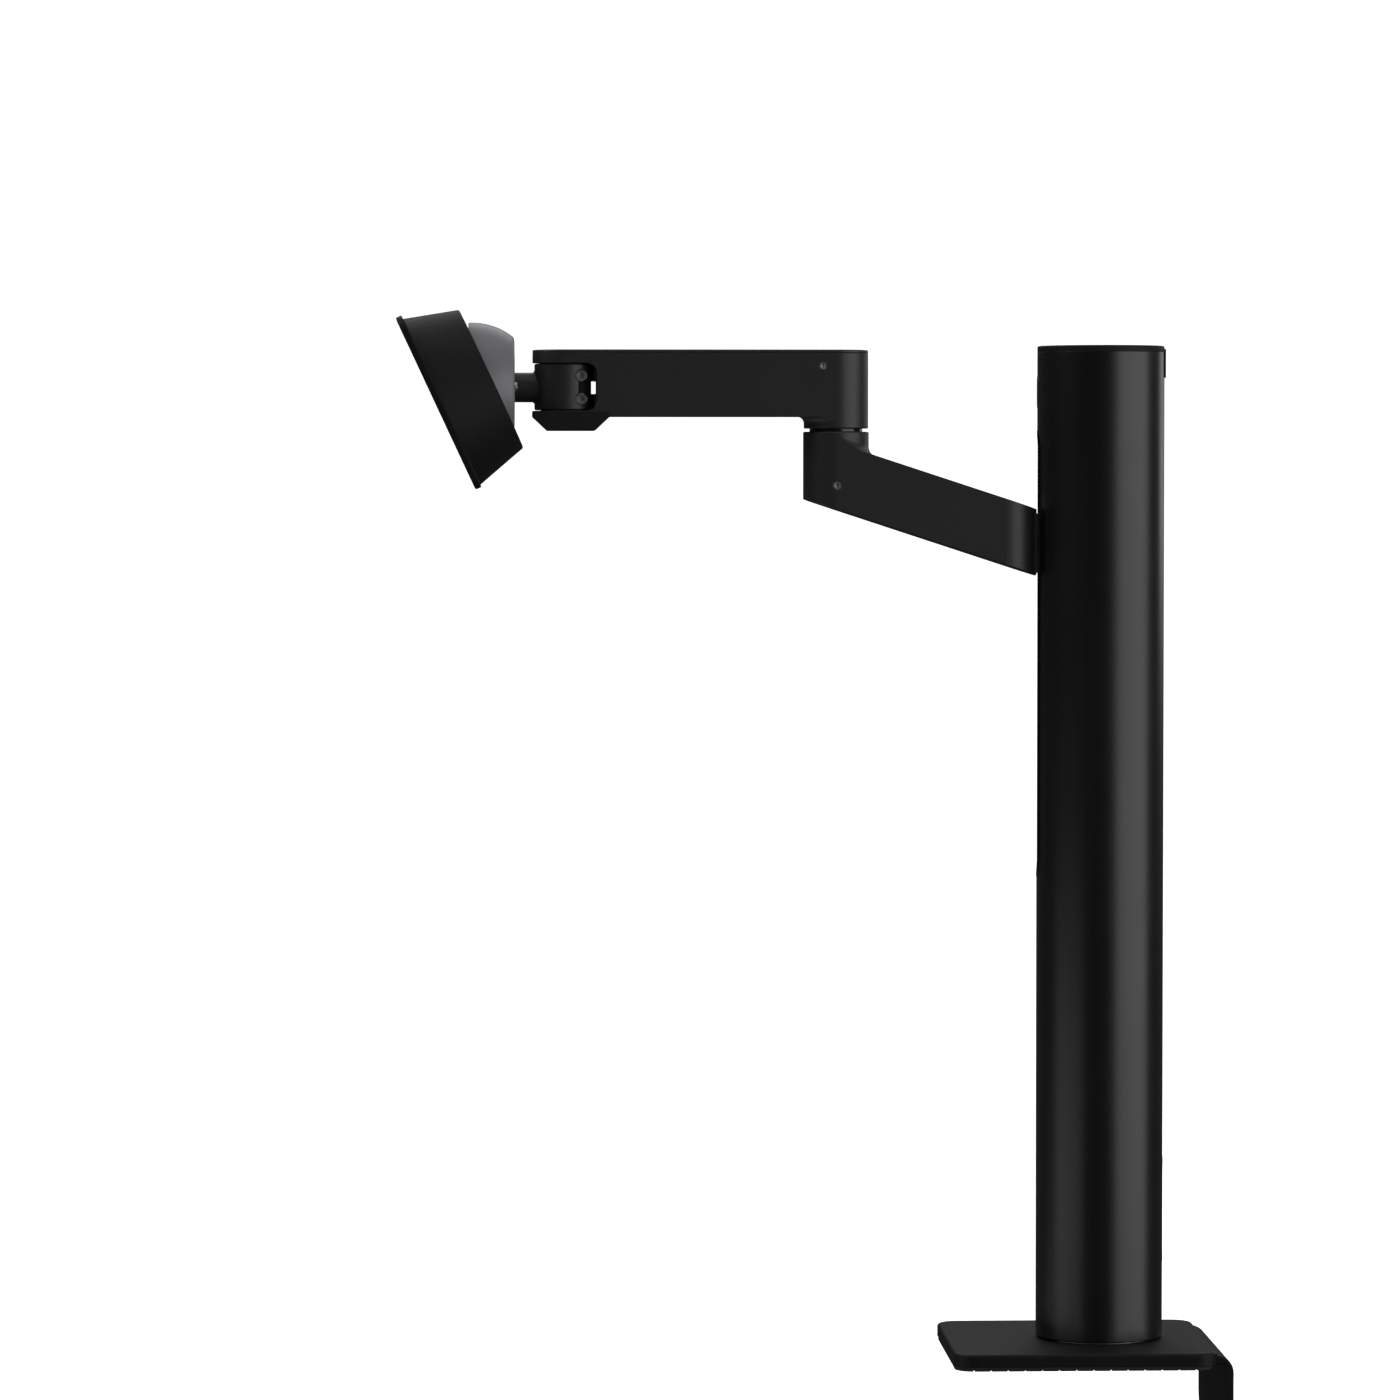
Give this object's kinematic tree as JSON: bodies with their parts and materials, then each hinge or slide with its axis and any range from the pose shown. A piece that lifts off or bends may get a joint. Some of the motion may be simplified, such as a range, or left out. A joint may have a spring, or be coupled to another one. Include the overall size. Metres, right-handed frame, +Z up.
{
  "type": "monitor arm",
  "caption": "Desk-clamped monitor arm: a slotted column with a height carriage, two folding links and a tilting, pivoting display mount.",
  "frame": {"origin": "on the desk surface, in the underside of the base pad, on the column's axis", "axes": "+Z up along the column, -X along the extended arm towards the user, +X towards the desk's edge and the clamp"},
  "size_m": [0.3903, 0.117, 0.6267],
  "materials": {
    "powder_coat": "fine black powder coat on sheet steel",
    "column_paint": "satin black paint on drawn steel tube",
    "arm_paint": "satin black paint on die-cast metal",
    "dome_paint": "satin dark grey paint",
    "die_cast": "plain die-cast aluminium",
    "black_plastic": "fine textured black plastic",
    "gloss_trim": "smooth black plastic",
    "bearing_plastic": "plain acetal",
    "rubber": "matte black rubber",
    "zinc": "zinc plated steel",
    "black_screw": "black oxide steel",
    "ground_rod": "ground and chromed steel",
    "spring_steel": "spring steel",
    "gas_cylinder_paint": "black paint on the gas cylinder"
  },
  "bodies": {
    "base": {"base_pad": "rubber", "base_cover": "powder_coat", "clamp_bracket": "powder_coat", "thread_bush": "zinc", "swivel_post": "die_cast", "post_screws": "zinc", "thrust_ring": "gloss_trim", "post_retainer": "zinc", "retainer_screw": "zinc"},
    "clamp_pad": {"pressure_pad": "rubber", "pressure_plate": "powder_coat"},
    "clamp_handle": {"clamp_screw": "zinc", "clamp_knob": "black_plastic"},
    "column": {"swivel_bushes": "bearing_plastic", "column_tube": "column_paint", "top_cap": "black_plastic", "slot_trim": "black_plastic", "front_plug": "gloss_trim", "exit_grommet": "black_plastic", "guide_rods": "ground_rod", "lower_crossmember": "die_cast", "upper_crossmember": "die_cast", "gas_anchor": "die_cast", "rear_screws": "black_screw", "gas_cylinder": "gas_cylinder_paint", "rod_gland": "bearing_plastic", "stop_bumpers": "rubber"},
    "carriage": {"carriage_block": "die_cast", "slide_bushes": "bearing_plastic", "cheek_bolts": "black_screw", "gas_rod": "ground_rod", "lower_arm": "arm_paint", "lower_arm_cover": "black_plastic", "cover_screws": "black_screw", "elbow_pin": "ground_rod", "elbow_set_screws": "zinc", "elbow_washer": "gloss_trim"},
    "upper_link": {"upper_arm": "arm_paint", "upper_arm_cover": "arm_paint", "upper_set_screws": "zinc", "elbow_bush": "bearing_plastic", "disc_springs": "spring_steel", "elbow_nut": "zinc", "swivel_pin": "ground_rod", "swivel_washers": "gloss_trim", "cable_holder": "black_plastic"},
    "head_swivel": {"swivel_knuckle": "arm_paint", "knuckle_screws": "zinc", "head_dome": "dome_paint"},
    "tilt_head": {"tilt_bracket": "zinc", "pivot_stop_pin": "ground_rod", "tilt_bolt": "black_screw", "tilt_washers": "spring_steel", "tilt_nut": "zinc"},
    "display_mount": {"friction_disc": "bearing_plastic", "mount_plate": "powder_coat", "pivot_axle": "ground_rod", "axle_nut": "zinc", "shroud": "black_plastic", "shroud_screws": "black_screw"}
  },
  "joints": [
    {"name": "column_turn", "type": "hinge", "parent": "base", "child": "column", "pos_m": [0, 0, 0.06], "axis": [0, 0, 1], "range_deg": [-135, 135]},
    {"name": "height_slide", "type": "slide", "parent": "column", "child": "carriage", "axis": [0, 0, 1], "range_m": [-0.13, 0]},
    {"name": "elbow_turn", "type": "hinge", "parent": "carriage", "child": "upper_link", "pos_m": [-0.1254, 0, 0.438], "axis": [0, 0, 1], "range_deg": [-145, 145]},
    {"name": "head_turn", "type": "hinge", "parent": "upper_link", "child": "head_swivel", "pos_m": [-0.2533, 0, 0.4585], "axis": [0, 0, -1], "range_deg": [-90, 90]},
    {"name": "tilt", "type": "hinge", "parent": "head_swivel", "child": "tilt_head", "pos_m": [-0.2966, 0, 0.4583], "axis": [0, 1, 0], "range_deg": [0, 50]},
    {"name": "pivot", "type": "hinge", "parent": "tilt_head", "child": "display_mount", "pos_m": [-0.2966, 0, 0.4583], "axis": [-0.9063, 0, -0.4226], "range_deg": [0, 90]},
    {"name": "clamp_turn", "type": "hinge", "parent": "clamp_pad", "child": "clamp_handle", "pos_m": [0, 0, -0.1], "axis": [0, 0, 1], "range_deg": [-3600, 2160]},
    {"name": "clamp_slide", "type": "slide", "parent": "base", "child": "clamp_pad", "axis": [0, 0, 1], "range_m": [-0.0301, 0.0181]}
  ],
  "couplings": [
    {"joint": "clamp_slide", "follows": "clamp_turn", "m_per_rad": 0.00047746}
  ]
}
